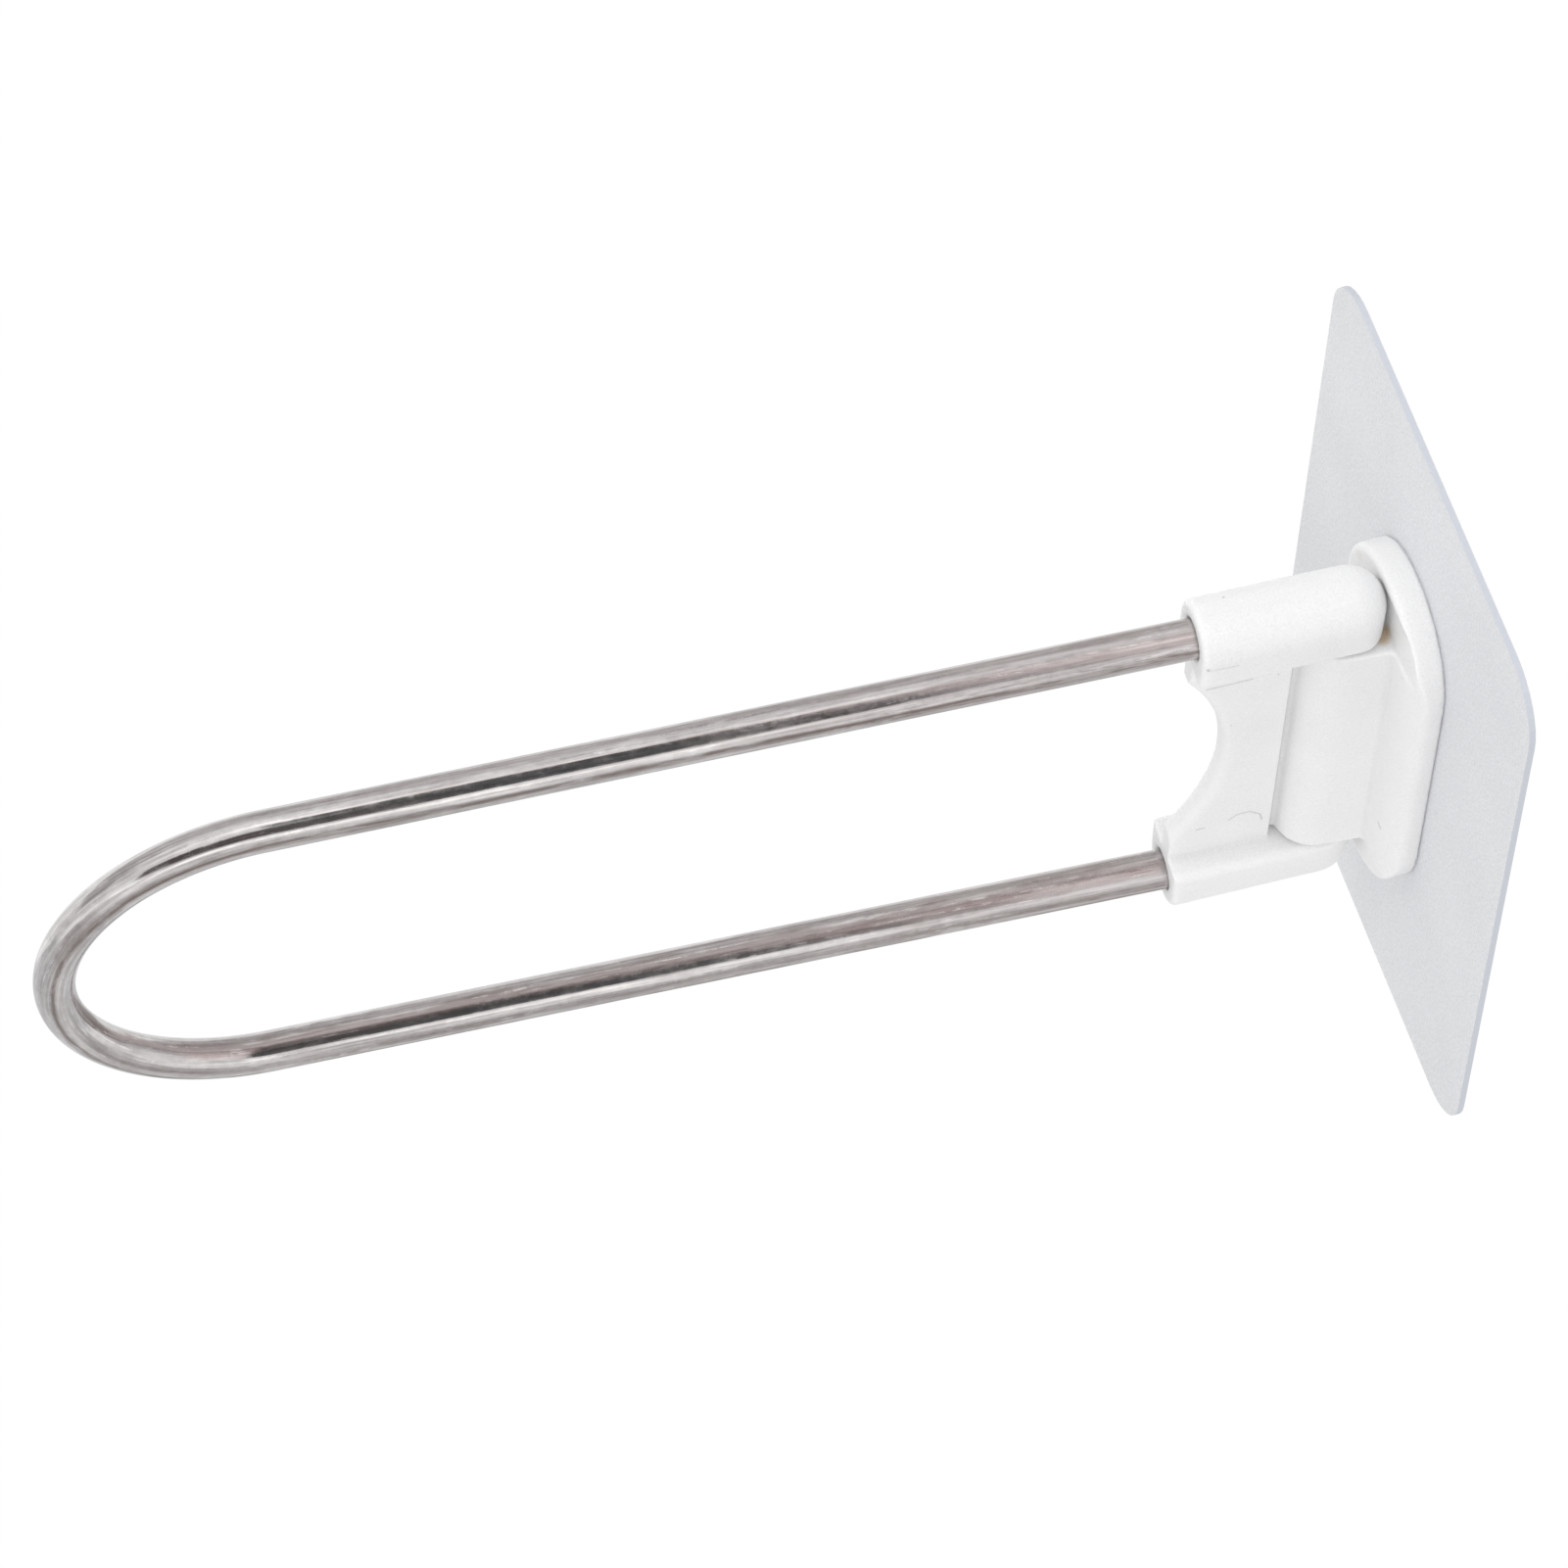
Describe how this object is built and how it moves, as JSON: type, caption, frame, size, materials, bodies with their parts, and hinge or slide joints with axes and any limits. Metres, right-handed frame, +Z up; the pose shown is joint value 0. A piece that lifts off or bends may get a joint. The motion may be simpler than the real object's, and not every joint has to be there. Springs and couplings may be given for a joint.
{
  "type": "folding wall clothes valet",
  "caption": "Folding wall clothes valet: an adhesive wall sheet carries a moulded base, and a long bent steel rod loop held in a moulded yoke folds up on the base's hinge pin.",
  "frame": {"origin": "centre of the wall plane, at the back face of the adhesive", "axes": "+X along the hinge, +Y into the wall, +Z up; the arm reaches along -Y"},
  "size_m": [0.1, 0.1675, 0.065],
  "materials": {
    "adhesive": "matte",
    "frosted_sheet": "satin",
    "bond_tape": "matte",
    "white_moulding": "satin",
    "pin_steel": "brushed",
    "rod_steel": "polished"
  },
  "bodies": {
    "wall_mount": {"wall_adhesive": "adhesive", "wall_sheet": "frosted_sheet", "foot_bond": "bond_tape", "base": "white_moulding"},
    "arm": {"yoke": "white_moulding", "hinge_pin": "pin_steel", "rod_loop": "rod_steel"}
  },
  "joints": [
    {"name": "arm_fold", "type": "hinge", "parent": "wall_mount", "child": "arm", "pos_m": [0, -0.0096, -0.0011], "axis": [-1, 0, 0], "range_deg": [0, 93]}
  ]
}
